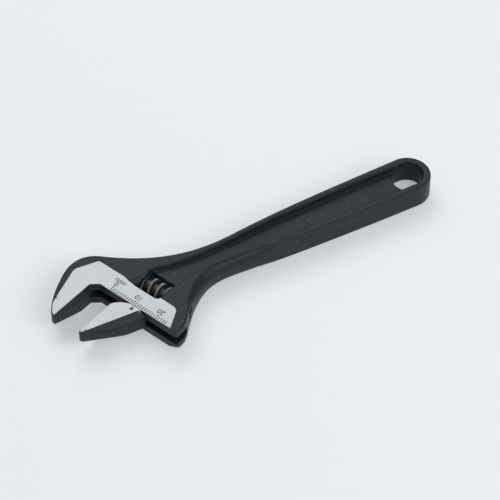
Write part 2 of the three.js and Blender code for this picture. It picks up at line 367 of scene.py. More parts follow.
def capped_tube(name, rings):
    """A tube of rings (rows, columns, 3) closed at both ends by a fan to the ring's middle. The rings'
    points run anticlockwise seen from the first ring towards the last, so faces point out."""
    rows, columns, _ = rings.shape
    points = np.concatenate([rings.reshape(-1, 3), rings[:1].mean(axis=1), rings[-1:].mean(axis=1)])
    faces = grid_faces(rows, columns, False, True)[:, ::-1].tolist()
    column = np.arange(columns)
    following = (column + 1) % columns
    last = (rows - 1) * columns
    first_pole, last_pole = rows * columns, rows * columns + 1
    fans = ((column, following, first_pole), (last + following, last + column, last_pole))
    for start, stop, pole in fans:
        faces += np.stack([start, stop, np.full(columns, pole)], axis=1)[:, ::-1].tolist()
    return new_piece(name, points, faces)


def around_u(u, radius, angle, v_axis):
    """Points at a radius and an angle (from +v towards +z) round an axis along u at mid thickness."""
    u, radius, angle = np.broadcast_arrays(u, radius, angle)
    return np.stack([u, v_axis + radius * np.cos(angle), MID_Z + radius * np.sin(angle)], axis=-1)


def turned_bar(name, profile, v_axis, columns=64):
    """Surface of revolution about an axis along u: profile rows are (u, radius)."""
    profile = np.asarray(profile, float)
    angle = np.arange(columns) * 2 * np.pi / columns
    return capped_tube(name, around_u(profile[:, :1], profile[:, 1:], angle[None, :], v_axis))


def slab(name, corners, low, high):
    """Prism on a convex (u, v) polygon between two heights."""
    corners = np.asarray(corners, float)
    rings = [np.column_stack([corners, np.full(len(corners), z)]) for z in (low, high)]
    return capped_tube(name, np.stack(rings)[:, ::-1])


ROUND_STEPS = 7
SUPPORT = 0.12
BEVEL_FROM_DROP = 1.0
BEVEL_BLEND = 0.8
MOST_STRAIGHT = 0.55


def edge_loop(*segments):
    """Closed boundary with edge rounding: each segment is (points, width0, width1, drop0, drop1), the
    rounding's width and drop running evenly from its first to its last point. An array in place of a
    number gives them point by point."""
    points = np.concatenate([segment[0] for segment in segments])
    ramp = [np.arange(len(segment[0])) / len(segment[0]) for segment in segments]
    width = np.concatenate([s[1] + (s[2] - s[1]) * t for s, t in zip(segments, ramp)])
    drop = np.concatenate([s[3] + (s[4] - s[3]) * t for s, t in zip(segments, ramp)])
    return points, width, drop


def even(points, size):
    """A boundary segment whose rounding has one size throughout."""
    return points, size, size, size, size


def rounding_rings(loop):
    """Rounded edges carried round a boundary. At step k of n a ring is moved in by the width and lies
    the drop below the face, each shared out as on a quarter ellipse; where the drop is large the
    ellipse is blended with a straight bevel. A last ring keeps the shading of the face flat."""
    points, width, drop = loop
    normal = inward_normals(points)
    step = np.linspace(0, 1, ROUND_STEPS + 1)[:, None]
    straightness = np.clip((drop - BEVEL_FROM_DROP) / BEVEL_BLEND, 0, MOST_STRAIGHT)
    inset = (1 - straightness) * (1 - np.cos(step * np.pi / 2)) + straightness * step
    below = (1 - straightness) * (1 - np.sin(step * np.pi / 2)) + straightness * (1 - step)
    inset = np.vstack([inset * width, width + SUPPORT])
    below = np.vstack([below * drop, 0 * drop])
    return points + normal * inset[..., None], below


def clipped_runs(line, loops, margin):
    """The stretches of a closed polyline that keep a margin inside every boundary."""
    keep = np.ones(len(line), bool)
    for boundary, outside in loops:
        distance = signed_distance(line, boundary)
        keep &= (-distance if outside else distance) > margin
    if keep.all():
        return [(line, True)]
    if not keep.any():
        return []
    start = int(np.argmin(keep))
    line = np.roll(line, -start, axis=0)
    keep = np.roll(keep, -start)
    breaks = np.flatnonzero(np.diff(keep.astype(int)))
    runs = np.split(np.arange(len(line)), breaks + 1)
    return [(line[run], False) for run in runs if keep[run[0]] and len(run) > 1]


def plan_solid(name, loops, creases, top, bottom, cell=1.1):
    """A closed solid over a plan. Its upper and lower surfaces are heights top(p) and bottom(p) over a
    triangulated plan; its boundaries, the first one outside and the rest holes, are rounded by rings
    and joined by straight walls. Creases are closed lines that the triangles follow."""
    ringed = [rounding_rings(loop) for loop in loops]
    inner = [plan[-1] for plan, _ in ringed]
    bounds = [(boundary[::-1] if index else boundary, index > 0) for index, boundary in enumerate(inner)]

    vertices = []
    edges = []
    count = 0
    for boundary in inner:
        index = np.arange(len(boundary))
        edges.append(np.stack([index, (index + 1) % len(index)], axis=1) + count)
        vertices.append(boundary)
        count += len(boundary)
    line_points = []
    for crease in creases:
        for run, closed in clipped_runs(crease, bounds, 0.09):
            index = np.arange(len(run))
            pairs = np.stack([index, (index + 1) % len(index)], axis=1)
            edges.append((pairs if closed else pairs[:-1]) + count)
            vertices.append(run)
            line_points.append(run)
            count += len(run)

    low, high = inner[0].min(axis=0), inner[0].max(axis=0)
    row = np.arange(low[1], high[1], cell * 0.87)
    column = np.arange(low[0], high[0], cell)
    grid_v, grid_u = np.meshgrid(row, column, indexing="ij")
    grid_u = grid_u + (np.arange(len(row)) % 2)[:, None] * cell / 2
    inside = np.stack([grid_u.ravel(), grid_v.ravel()], axis=1)
    for boundary, outside in bounds:
        distance = signed_distance(inside, boundary)
        inside = inside[(-distance if outside else distance) > cell * 0.45]
    if line_points:
        every = np.concatenate(line_points)
        near = np.empty(len(inside))
        for start in range(0, len(inside), 1000):
            gap = inside[start:start + 1000, None, :] - every
            near[start:start + 1000] = np.sqrt((gap ** 2).sum(axis=2)).min(axis=1)
        inside = inside[near > cell * 0.4]
    vertices.append(inside)

    plan = np.concatenate(vertices)
    pairs = np.concatenate(edges)
    result = delaunay_2d_cdt([Vector(p) for p in plan.tolist()], pairs.tolist(), [], 0, 1e-5)
    flat = np.array([[p.x, p.y] for p in result[0]])
    triangles = np.array([face for face in result[2] if len(face) == 3])
    new_index = np.full(len(plan), -1)
    for position, sources in enumerate(result[3]):
        for source in sources:
            new_index[source] = position
    middle = flat[triangles].mean(axis=1)
    keep = np.ones(len(triangles), bool)
    for boundary, outside in bounds:
        distance = signed_distance(middle, boundary)
        keep &= (distance < 0) if outside else (distance > 0)
    triangles = triangles[keep]
    a, b, c = (flat[triangles[:, i]] for i in range(3))
    area = (b[:, 0] - a[:, 0]) * (c[:, 1] - a[:, 1]) - (b[:, 1] - a[:, 1]) * (c[:, 0] - a[:, 0])
    triangles[area < 0] = triangles[area < 0][:, ::-1]
    triangles = triangles[np.abs(area) > 1e-9]

    flat_count = len(flat)
    points = [np.column_stack([flat, top(flat)]), np.column_stack([flat, bottom(flat)])]
    faces = triangles.tolist() + (triangles[:, ::-1] + flat_count).tolist()
    base = 2 * flat_count
    boundary_start = 0
    for plan_rings, below in ringed:
        rings, size, _ = plan_rings.shape
        flat_rings = plan_rings[:-1].reshape(-1, 2)
        lowered = below[:-1].ravel()
        points.append(np.column_stack([flat_rings, top(flat_rings) - lowered]))
        points.append(np.column_stack([flat_rings, bottom(flat_rings) + lowered]))
        own = (rings - 1) * size
        last = new_index[boundary_start:boundary_start + size]
        upper = np.vstack([base + np.arange(own).reshape(rings - 1, size), last])
        lower = np.vstack([base + own + np.arange(own).reshape(rings - 1, size), last + flat_count])
        around = (np.arange(size) + 1) % size
        for k in range(rings - 1):
            strip = np.stack([upper[k], upper[k][around], upper[k + 1][around], upper[k + 1]], axis=1)
            faces += strip.tolist()
            strip = np.stack([lower[k], lower[k + 1], lower[k + 1][around], lower[k][around]], axis=1)
            faces += strip.tolist()
        wall = np.stack([lower[0], lower[0][around], upper[0][around], upper[0]], axis=1)
        faces += wall.tolist()
        base += 2 * own
        boundary_start += size
    return new_piece(name, np.concatenate(points), faces)


# ---- the forging's shape --------------------------------------------------------------------------

MACHINED = 0.16
GROUND_DEPTH = 0.12

# Bevel along the near side of the neck: how far it falls at each distance s along the handle.
NECK_BEVEL = (
    (11, 16.5, 18, 20.6, 24, 29, 34.5, 40, 49, 60, 68),
    (0.6, 0.8, 0.9, 1.8, 2.4, 2.9, 2.5, 2.2, 1.55, 0.8, 0.5),
)
NECK_BEVEL_SLOPE = 1.05


def body_loop(settings):
    """The forging's outline, anticlockwise: jaw face, throat, slide face, near side of the neck and
    handle, end, far side, back of the head, back of the jaw. Each stretch carries the width and drop
    of its rounded edge."""
    handle = settings.handle_edge / MM
    bevel = settings.back_bevel / MM
    drop = settings.back_drop / MM
    direction = math.pi / 2 - HEAD_ANGLE
    throat_side = np.array([FIXED_FACE_U, -THROAT_CUT[1]])
    throat_back = np.array([FIXED_FACE_U + THROAT_CUT[0], 0.0])
    throat_turn = (throat_back - throat_side) * THROAT_TURN_SHARE
    end = from_handle(HOLE_S, HOLE_T)
    tip = (FIXED_FACE_U, -JAW_REACH)
    corner_start = (SLIDE_END_U - 0.7, 0)
    corner = (SLIDE_END_U, 0.7)
    neck_start = (SLIDE_END_U, 3.4)
    head_side = (25.4, 9.9)
    neck_near = from_handle(40, -4.5)
    neck_far = from_handle(46, 7.5)
    head_back = from_handle(3.3, 21.1)
    head_top = from_handle(-14.4, 18.0)
    jaw_back = from_handle(-23.5, 6.0)
    end_near = from_handle(HOLE_S, HOLE_T - END_RADIUS)
    end_far = from_handle(HOLE_S, HOLE_T + END_RADIUS)
    near = np.concatenate([
        bezier(neck_start, (28.3, 5.2), (27.0, 7.4), head_side),
        bezier(head_side, (20.9, 18.6), (18.9, 27.3), neck_near),
        bezier(neck_near, from_handle(54, -4.6), from_handle(84, -7.0), end_near, 0.8),
    ])
    fall = np.interp(handle_s(near), *NECK_BEVEL) * handle / NECK_BEVEL[1][-1]
    return edge_loop(
        even(straight(tip, throat_side - (0, 0.5)), MACHINED),
        even(bezier(throat_side - (0, 0.5), throat_side - (0, 0.1), throat_side,
                    throat_side + throat_turn, 0.15), MACHINED),
        even(straight(throat_side + throat_turn, throat_back - throat_turn), MACHINED),
        (bezier(throat_back - throat_turn, throat_back, throat_back + (0.1, 0),
                throat_back + (0.5, 0), 0.15), MACHINED, 0.2, MACHINED, 0.2),
        even(straight(throat_back + (0.5, 0), corner_start), 0.2),
        (bezier(corner_start, (SLIDE_END_U - 0.2, 0), (SLIDE_END_U, 0.2), corner), 0.2, 0.45, 0.2, 0.4),
        (straight(corner, neck_start), 0.45, 0.6, 0.4, 0.55),
        (near, fall * NECK_BEVEL_SLOPE, fall * NECK_BEVEL_SLOPE, fall, fall),
        even(arc(end, END_RADIUS, direction - math.pi / 2, direction + math.pi / 2), handle),
        (bezier(end_far, from_handle(92, 8.6), from_handle(68, 9.1), neck_far, 0.8),
         handle, bevel, handle, 1.3),
        (bezier(neck_far, from_handle(30.4, 6.3), from_handle(17.6, 9.6), head_back),
         bevel, bevel, 1.3, drop),
        (bezier(head_back, from_handle(-5.3, 28.0), from_handle(-12.8, 19.3), head_top),
         bevel, bevel, drop, drop),
        (bezier(head_top, from_handle(-15.1, 17.4), from_handle(-22.0, 11.0), jaw_back),
         bevel, 0.6, drop, 0.7),
        (straight(jaw_back, tip), 0.6, MACHINED, 0.7, MACHINED),
    )


def window_loop():
    """The worm window: a rectangle with rounded corners, run clockwise as a hole."""
    (u0, v0), (u1, v1) = WINDOW
    outline = rounded([(u0, v0, 0.3), (u1, v0, 2.2), (u1, v1, 0.4), (u0, v1, 0.4)], 0.1)[::-1]
    return edge_loop(even(outline, 0.1))


def hole_loop():
    """The hang hole: a circle round the handle's far end, run clockwise as a hole."""
    circle = arc(from_handle(HOLE_S, HOLE_T), HOLE_RADIUS, 2 * math.pi, 0, 0.45)
    return edge_loop((circle, 0.35, 0.35, 0.3, 0.3))


def pad_outline():
    """The ground pad: the fixed jaw's face and the scale strip, run out past the slide face."""
    return rounded([
        (-6.0, -21.5, 0), (-9.4, -21.5, 0), (-12.2, -15.9, 0.8), (-16.7, -0.5, 1.5),
        (-12.65, 7.65, 0.7), (-0.6, 7.73, 0.8), (0.9, 7.15, 0.6), (12.2, 6.97, 0.5),
        (14.3, 8.2, 0.4), (21.9, 8.1, 1.8), (26.2, -0.9, 0), (26.6, -3.0, 0),
        (-4.0, -4.0, 0), (-4.0, -21.5, 0),
    ][::-1], 0.3)


def recess_outline():
    """The hollow of the handle, from inside the worm window to inside the hang hole."""
    half = HOLE_RADIUS - 0.15
    center = from_handle(HOLE_S, HOLE_T)
    direction = math.pi / 2 - HEAD_ANGLE
    near_start = from_handle(17.2, -3.2)
    far_start = from_handle(13.4, 6.9)
    window_far = from_handle(15.6, 6.7)
    window_near = from_handle(19.3, -3.8)
    hole_near = from_handle(HOLE_S, HOLE_T - half)
    hole_far = from_handle(HOLE_S, HOLE_T + half)
    near = [(26, -2.7), (34, -2.0), (48, -2.35), (60, -3.1), (80, -4.1), (100, -5.0)]
    far = [(108, 6.0), (100, 6.2), (85, 6.3), (70, 6.2), (60, 6.0), (50, 5.4), (40, 4.85), (30, 4.8),
           (22, 5.4)]
    return np.concatenate([
        straight(near_start, window_near),
        through(window_near, *(from_handle(s, t) for s, t in near), hole_near),
        arc(center, half, direction - math.pi / 2, direction + math.pi / 2),
        through(hole_far, *(from_handle(s, t) for s, t in far), window_far),
        straight(window_far, far_start),
        straight(far_start, near_start),
    ])


RECESS_PROFILE = (
    (-0.60, -0.35, -0.18, -0.04, 0.08, 0.34, 0.40, 0.47, 0.56, 0.68),
    (0.0, 0.012, 0.04, 0.09, 0.17, 0.90, 0.955, 0.98, 0.993, 1.0),
)
PAD_STEP = 0.15
RELIEF_LINE = ((3.7, 16.7), (1.3, 8.0))
RELIEF_START_V = 6.6
RELIEF_FADE = 1.6
RELIEF_WIDTH = 2.4
RELIEF_SLOPE = 0.7
RECESS_RAMP_S = (20, 60)
RECESS_DEPTH_NEAR = 1.75
END_BEVEL_LINE = ((23.2, -1.0), (29.2, 2.0))
END_BEVEL_SLOPE = 1.1


def relief_drop(points):
    """Thumb relief beside the worm window: a slope that starts at a slanting line and falls towards
    the window."""
    beside = -beyond_line(points, RELIEF_LINE)
    fade = np.clip((points[:, 1] - RELIEF_START_V) / RELIEF_FADE, 0, 1) * (points[:, 1] < WINDOW[1][1])
    return np.clip(beside, 0, RELIEF_WIDTH) * RELIEF_SLOPE * fade * (points[:, 0] < WINDOW[0][0] + 0.3)


def forging_drop(points, settings, pad, recess):
    """How far the forging's face lies below the ground pad's plane: the pad's step, the recess with
    its sloping floor, and the thumb relief."""
    lift = settings.pad_lift / MM
    on_pad = np.clip(signed_distance(points, pad) / PAD_STEP + 1, 0, 1)
    depths = (RECESS_DEPTH_NEAR, settings.recess_depth / MM)
    floor = np.interp(handle_s(points), RECESS_RAMP_S, depths)
    hollow = floor * np.interp(signed_distance(points, recess), *RECESS_PROFILE)
    return lift * (1 - on_pad) + hollow + relief_drop(points) * (1 - on_pad)


def end_rise(points):
    """Bevel on the underside of the slide's outer corner: rises evenly beyond a slanting line."""
    beyond = np.clip(beyond_line(points, END_BEVEL_LINE), 0, None)
    return END_BEVEL_SLOPE * beyond * (points[:, 0] > END_BEVEL_LINE[0][0])


def taper_rise(points):
    """The underside of both jaws rises in a straight slope to the thin tips, with a soft start."""
    slope = (THICK - TIP_THICK) / (JAW_REACH + TAPER_START_V)
    beyond = TAPER_START_V - points[:, 1]
    softness = 0.5
    return slope * (beyond + np.sqrt(beyond ** 2 + softness ** 2)) / 2


def taper_crease(low_u, high_u):
    """A narrow closed line where the jaws' taper starts, between two places along u."""
    stop = TAPER_START_V - 0.6
    return rounded([(low_u, TAPER_START_V, 0), (high_u, TAPER_START_V, 0),
                    (high_u, stop, 0), (low_u, stop, 0)])


class OBJECT_OT_wrench_forging(bpy.types.Operator):
    """Build the forging: fixed jaw, slide, worm window, handle and hang hole in one closed mesh"""
    bl_idname = "object.wrench_forging"
    bl_label = "Forging"

    def execute(self, context):
        settings = context.scene.wrench_forging
        pad = pad_outline()
        recess = recess_outline()

        def top(points):
            return THICK - forging_drop(points, settings, pad, recess)

        def bottom(points):
            return forging_drop(points, settings, pad, recess) + taper_rise(points) + end_rise(points)

        creases = [pad, offset(pad, -PAD_STEP)] + [offset(recess, s) for s in RECESS_PROFILE[0]]
        relief_corners = [*RELIEF_LINE, (3.4, 7.0), (3.4, 16.6)]
        creases.append(rounded([(u, v, 0) for u, v in relief_corners]))
        creases.append(taper_crease(FIXED_FACE_U - 13, FIXED_FACE_U + 1))
        way_back = straight(*END_BEVEL_LINE[::-1])[1:-1] + (0.04, 0)
        creases.append(np.concatenate([straight(*END_BEVEL_LINE), way_back]))
        loops = [body_loop(settings), window_loop(), hole_loop()]
        piece = plan_solid("forging", loops, creases, top, bottom)

        far = SLIDE_END_U + 8
        bore = [(BORE_START_U, BORE_RADIUS), (far, BORE_RADIUS)]
        combine(piece, turned_bar("bore", bore, BORE_V), "DIFFERENCE")
        slot_start = FIXED_FACE_U + 0.02
        slot_corners = [(slot_start, -5), (far, -5), (far, BORE_V), (slot_start, BORE_V)]
        half = SLOT_HEIGHT / 2
        combine(piece, slab("slot", slot_corners, MID_Z - half, MID_Z + half), "DIFFERENCE")
        pin_hole = [*PIN_HOLE, (far, PIN_HOLE[-1][1])]
        combine(piece, turned_bar("pin_hole", pin_hole, WORM_V, 40), "DIFFERENCE")

        points = head_points(piece)
        on_pad = signed_distance(points[:, :2], pad) > -0.02
        at_face = np.minimum(np.abs(points[:, 2] - THICK), np.abs(points[:, 2])) < GROUND_DEPTH
        set_attribute(piece, "ground", on_pad & at_face)
        give_material(piece, forging_material(settings))
        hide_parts("body")
        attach(piece, "frame")
        return {"FINISHED"}


# ---- the sliding jaw ------------------------------------------------------------------------------

JAW_TOP_EDGE = ((2.64, -16.1), (8.9, -1.66))
BASE_GAP = 0.1


def bevel_distance(points):
    """How far a point lies outside the straight edge between the jaw's ground face and its bevel."""
    return beyond_line(points - np.array([JAW_FACE_U, 0]), JAW_TOP_EDGE)


def jaw_loop():
    """The jaw's outline, anticlockwise from its tip: bulging back, base and relieved root corner."""
    face = JAW_FACE_U
    tip = (face, -JAW_REACH)
    tip_back = (face + 0.9, -JAW_REACH)
    base_back = (face + 11.8, -BASE_GAP)
    base_front = (face + 5.3, -BASE_GAP)
    root = (face, -4.5)
    return edge_loop(
        (straight(tip, tip_back, 0.2), MACHINED, 0.3, MACHINED, 0.3),
        (bezier(tip_back, (face + 5.6, -14.6), (face + 9.8, -7.2), base_back), 0.3, 0.5, 0.3, 0.5),
        even(straight(base_back, base_front), 0.1),
        (bezier(base_front, (face + 2.6, -1.1), (face + 0.9, -2.4), root), 0.1, MACHINED, 0.1, MACHINED),
        even(straight(root, tip), MACHINED),
    )


def thread_radius(u, angle, settings, grow=0.0):
    """Radius of the worm's surface: one turn of angle is one lead of thread. With d the distance along
    the axis from the nearest crest's middle, the radius is the crest's within half its width, the
    root's beyond the flank, and a straight flank between. Grow widens the thread on every side."""
    crest = settings.crest_width / MM / 2 + grow
    root = (WORM_LEAD - settings.root_gap / MM) / 2 + grow
    turn = (u - WORM_CREST_TOP_U) / WORM_LEAD - (angle - np.pi / 2) / (2 * np.pi)
    distance = np.abs(turn - np.round(turn)) * WORM_LEAD
    up_flank = np.clip((root - distance) / (root - crest), 0, 1)
    low, high = settings.root_radius / MM, settings.crest_radius / MM
    return low + (high - low) * up_flank + grow, up_flank


def rail_rings(start, stop, worm):
    """The jaw's round rail with its rack. Along each ray from the rail's axis the surface is the rail's
    radius, or nearer where the ray first meets the worm's thread, widened by the running clearance."""
    columns = 72
    rail = BORE_RADIUS - RUNNING_GAP
    u = np.arange(start, stop + 0.05, 0.1)
    angle = np.arange(columns) * 2 * np.pi / columns
    radius = np.linspace(0.5 * rail, rail, 60)
    grid_u, grid_a, grid_r = np.meshgrid(u, angle, radius, indexing="ij")
    v = BORE_V + grid_r * np.cos(grid_a) - WORM_V
    z = grid_r * np.sin(grid_a)
    thread, _ = thread_radius(grid_u, np.arctan2(z, v), worm, RUNNING_GAP)
    free = np.hypot(v, z) > thread
    reach = np.where(free.all(axis=2), len(radius) - 1, np.argmin(free, axis=2) - 1)
    surface = radius[np.maximum(reach, 0)]
    chamfer = np.minimum(u - start, stop - u)[:, None] + rail - 0.6
    surface = np.minimum(surface, chamfer)
    return around_u(u[:, None], surface, angle[None, :], BORE_V)


class OBJECT_OT_wrench_jaw(bpy.types.Operator):
    """Build the sliding jaw: ground blade, black bevel, web and rail with its rack"""
    bl_idname = "object.wrench_jaw"
    bl_label = "Sliding jaw"

    def execute(self, context):
        worm = context.scene.wrench_worm

        def top(points):
            return THICK - np.clip(bevel_distance(points), 0, None)

        def bottom(points):
            return taper_rise(points) + np.clip(bevel_distance(points), 0, None)

        bend = np.array(JAW_TOP_EDGE) + np.array([JAW_FACE_U, 0])
        reach = bend + np.array([[-1], [1]]) * (bend[1] - bend[0]) * 0.5
        way_back = straight(reach[1], reach[0])[1:-1] + 0.04
        bevel_line = np.concatenate([straight(reach[0], reach[1]), way_back])
        creases = [bevel_line, taper_crease(JAW_FACE_U - 1, JAW_FACE_U + 13)]
        piece = plan_solid("sliding_jaw", [jaw_loop()], creases, top, bottom, 0.9)

        half = SLOT_HEIGHT / 2 - 0.1
        web_corners = [(JAW_FACE_U + 0.6, -1.3), (JAW_FACE_U + 11.2, -1.3),
                       (JAW_FACE_U + 11.2, BORE_V), (JAW_FACE_U + 0.6, BORE_V)]
        rail = capped_tube("rail", rail_rings(JAW_FACE_U - 5.0, JAW_FACE_U + 15.2, worm))
        combine(piece, slab("web", web_corners, MID_Z - half, MID_Z + half), "UNION")
        combine(piece, rail, "UNION")

        points = head_points(piece)
        on_face = (points[:, 2] > THICK - GROUND_DEPTH) & (bevel_distance(points[:, :2]) < 0.02)
        ground = on_face & (points[:, 1] < 0.5)
        set_attribute(piece, "ground", ground)
        give_material(piece, forging_material(context.scene.wrench_forging))
        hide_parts("movable_jaw")
        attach(piece, "jaw")
        return {"FINISHED"}


# ---- worm, pin and spring -------------------------------------------------------------------------

def worm_rings(settings):
    """The worm as a ring of rings: the thread outside, then back through the spring's seat and the
    bore, so that the surface closes on itself."""
    columns = settings.serrations * 7
    start, stop = WINDOW[0][0] + 0.3, WINDOW[1][0] - 0.3
    angle = np.arange(columns) * 2 * np.pi / columns
    u = np.linspace(start, stop, 118)
    radius, up_flank = thread_radius(u[:, None], angle[None, :], settings)
    notch = 0.5 + 0.5 * np.cos(settings.serrations * angle)
    on_crest = np.clip(up_flank * 1.6 - 0.6, 0, 1)
    radius = radius - settings.notch_depth / MM * notch[None, :] ** 2 * on_crest
    chamfer = settings.root_radius / MM + 0.25 + np.minimum(u - start, stop - u)[:, None] * 1.4
    outside = around_u(u[:, None], np.minimum(radius, chamfer), angle[None, :], WORM_V)
    seat_end = stop - WORM_SEAT_DEPTH
    inner_profile = [(stop, WORM_SEAT), (seat_end, WORM_SEAT), (seat_end, WORM_BORE), (start, WORM_BORE)]
    inner = [around_u(u_in, r_in, angle, WORM_V) for u_in, r_in in inner_profile]
    # Mask of the serration tips on the crests, which the material colours brighter.
    bright_tips = np.clip(up_flank * 4 - 3, 0, 1) * (1 - 0.85 * notch[None, :])
    return np.concatenate([outside, np.stack(inner)]), bright_tips


class OBJECT_OT_wrench_worm(bpy.types.Operator):
    """Build the knurled worm"""
    bl_idname = "object.wrench_worm"
    bl_label = "Knurled worm"

    def execute(self, context):
        settings = context.scene.wrench_worm
        rings, bright_tips = worm_rings(settings)
        rows, columns, _ = rings.shape
        faces = grid_faces(rows, columns, True, True)[:, ::-1]
        piece = new_piece("knurled_worm", rings.reshape(-1, 3), faces.tolist())
        crest = np.zeros((rows, columns))
        crest[:len(bright_tips)] = bright_tips
        # Here the "ground" attribute carries the mask of the brighter serration tips.
        set_attribute(piece, "ground", crest.ravel())
        give_material(piece, worm_material())
        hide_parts("worm")
        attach(piece, "knurl")
        return {"FINISHED"}


class OBJECT_OT_wrench_pin(bpy.types.Operator):
    """Build the worm's headed pin, with a screwdriver slot in its end"""
    bl_idname = "object.wrench_pin"
    bl_label = "Worm pin"

    def execute(self, context):
        piece = turned_bar("pin", PIN, WORM_V, 48)
        driver = [(21.0, WORM_V - 2), (22.5, WORM_V - 2), (22.5, WORM_V + 2), (21.0, WORM_V + 2)]
        combine(piece, slab("driver_slot", driver, MID_Z - 0.22, MID_Z + 0.22), "DIFFERENCE")
        give_material(piece, plain_steel_material("oiled_pin", (0.09, 0.09, 0.10), 0.42))
        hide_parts("worm_pin")
        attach(piece, "frame")
        return {"FINISHED"}


class OBJECT_OT_wrench_spring(bpy.types.Operator):
    """Build the worm's coil spring"""
    bl_idname = "object.wrench_spring"
    bl_label = "Worm spring"

    def execute(self, context):
        low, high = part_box("worm_spring")
        if (np.array(high - low) / MM) @ np.abs(SLIDE) <= 0:
            raise RuntimeError("the frame has no worm spring")
        stop = WINDOW[1][0] - 0.35
        start = stop - 2.9
        turns, wire, coil = 5.0, 0.2, 1.62
        t = np.linspace(0, 1, int(turns * 28) + 1)
        ease = t * t * (3 - 2 * t) * 0.25 + t * 0.75
        angle = 2 * np.pi * turns * t
        path = around_u(start + (stop - start) * ease, np.full_like(t, coil), angle, WORM_V)
        tangent = np.gradient(path, axis=0)
        tangent /= np.linalg.norm(tangent, axis=1, keepdims=True)
        outward = around_u(np.zeros_like(t), np.ones_like(t), angle, 0) - np.array([0, 0, MID_Z])
        binormal = np.cross(tangent, outward)
        around = np.arange(12) * 2 * np.pi / 12
        cosine, sine = np.cos(around)[None, :, None], np.sin(around)[None, :, None]
        ring = cosine * outward[:, None, :] - sine * binormal[:, None, :]
        piece = capped_tube("spring_coil", path[:, None, :] + wire * ring)
        give_material(piece, plain_steel_material("bright_spring", (0.45, 0.45, 0.46), 0.3))
        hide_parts("worm_spring")
        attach(piece, "frame")
        return {"FINISHED"}


# ---- scale marks ----------------------------------------------------------------------------------

MARK_BELOW = 0.04
MARK_ABOVE = 0.012
DIGIT_HEIGHT_SHARE = 0.72
BOLDNESS = 0.02


def bars(name, rectangles):
    """Flat bars from rows (u, v, half width, half length): a unit box scaled and moved per row."""
    rectangles = np.asarray(rectangles, float)
    unit = np.array([[-1, -1], [1, -1], [1, 1], [-1, 1]], float)
    plan = rectangles[:, None, :2] + unit[None] * rectangles[:, None, 2:4]
    low = np.concatenate([plan, np.full(plan.shape[:2] + (1,), THICK - MARK_BELOW)], axis=2)
    high = np.concatenate([plan, np.full(plan.shape[:2] + (1,), THICK + MARK_ABOVE)], axis=2)
    points = np.concatenate([low, high], axis=1)
    box = np.array([[3, 2, 1, 0], [4, 5, 6, 7], [0, 1, 5, 4], [1, 2, 6, 5], [2, 3, 7, 6], [3, 0, 4, 7]])
    faces = (np.arange(len(points))[:, None, None] * 8 + box[None]).reshape(-1, 4)
    return new_piece(name, points.reshape(-1, 3), faces.tolist())


def numeral(text, u, v, height):
    """A flat numeral centred on (u, v), its top towards the jaws, as a list of placed vertices."""
    curve = bpy.data.curves.new(text, "FONT")
    curve.body = text
    curve.align_x = "CENTER"
    curve.align_y = "CENTER"
    curve.size = height / DIGIT_HEIGHT_SHARE
    curve.offset = height * BOLDNESS
    curve.extrude = (MARK_BELOW + MARK_ABOVE) / 2
    curve.resolution_u = 4
    text_object = bpy.data.objects.new(text, curve)
    bpy.context.scene.collection.objects.link(text_object)
    bpy.context.view_layer.update()
    evaluated = text_object.evaluated_get(bpy.context.evaluated_depsgraph_get())
    mesh = bpy.data.meshes.new_from_object(evaluated)
    co = np.empty(len(mesh.vertices) * 3)
    mesh.vertices.foreach_get("co", co)
    co = co.reshape(-1, 3)
    middle = THICK + (MARK_ABOVE - MARK_BELOW) / 2
    points = np.stack([u - co[:, 0], v - co[:, 1], middle + co[:, 2]], axis=1)
    faces = [list(polygon.vertices) for polygon in mesh.polygons]
    bpy.data.objects.remove(text_object)
    return points, faces


class OBJECT_OT_wrench_scale(bpy.types.Operator):
    """Build the millimetre scale on the pad: ticks, numerals and the unit"""
    bl_idname = "object.wrench_scale"
    bl_label = "Scale"

    def execute(self, context):
        settings = context.scene.wrench_marks
        half = settings.tick_width / MM / 2
        rows = []
        for tick in range(settings.last_tick + 1):
            start, stop = (0.25, 2.2) if tick % 10 == 0 else (0.3, 1.75)
            rows.append((SCALE_ZERO_U + tick, (start + stop) / 2, half, (stop - start) / 2))
        ticks = bars("scale_ticks", rows)
        height = settings.numeral_height / MM
        labels = [("0", -1.1, 3.5), ("10", 8.9, 3.55), ("20", 18.85, 3.6), ("mm", -0.75, 5.1)]
        points, faces, count = [], [], 0
        for text, u, v in labels:
            own_points, own_faces = numeral(text, u, v, height)
            points.append(own_points)
            faces += [[index + count for index in face] for face in own_faces]
            count += len(own_points)
        numerals = new_piece("scale_numerals", np.concatenate(points), faces)
        for piece in (ticks, numerals):
            give_material(piece, mark_material())
            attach(piece, "frame")
        return {"FINISHED"}


class OBJECT_OT_wrench_pointer(bpy.types.Operator):
    """Build the jaw's pointer: a round dot and a short line at the reading edge"""
    bl_idname = "object.wrench_pointer"
    bl_label = "Pointer"

    def execute(self, context):
        reading = SCALE_ZERO_U + JAW_FACE_U - FIXED_FACE_U
        dot = arc((reading, -1.6), 0.62, 0, 2 * math.pi, 0.1)
        dot_piece = slab("pointer_dot", dot, THICK - MARK_BELOW, THICK + MARK_ABOVE)
        line = bars("pointer_line", [(reading, -0.8, 0.13, 0.5)])
        for piece in (dot_piece, line):
            give_material(piece, mark_material())
            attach(piece, "jaw")
        return {"FINISHED"}


# ---- materials ------------------------------------------------------------------------------------

def give_material(piece, material):
    piece.data.materials.clear()
    piece.data.materials.append(material)


class Nodes:
    """Short names for adding nodes and links to a node tree."""

    def __init__(self, tree):
        self.tree = tree

    def add(self, kind, **values):
        node = self.tree.nodes.new(kind)
        for name, value in values.items():
            if name.startswith("in_"):
                node.inputs[name[3:].replace("_", " ")].default_value = value
            else:
                setattr(node, name, value)
        return node

    def link(self, source, target):
        self.tree.links.new(source, target)

    def wire(self, source, output, target, entry):
        """Links one node's named or numbered output to another's input."""
        self.link(source.outputs[output], target.inputs[entry])


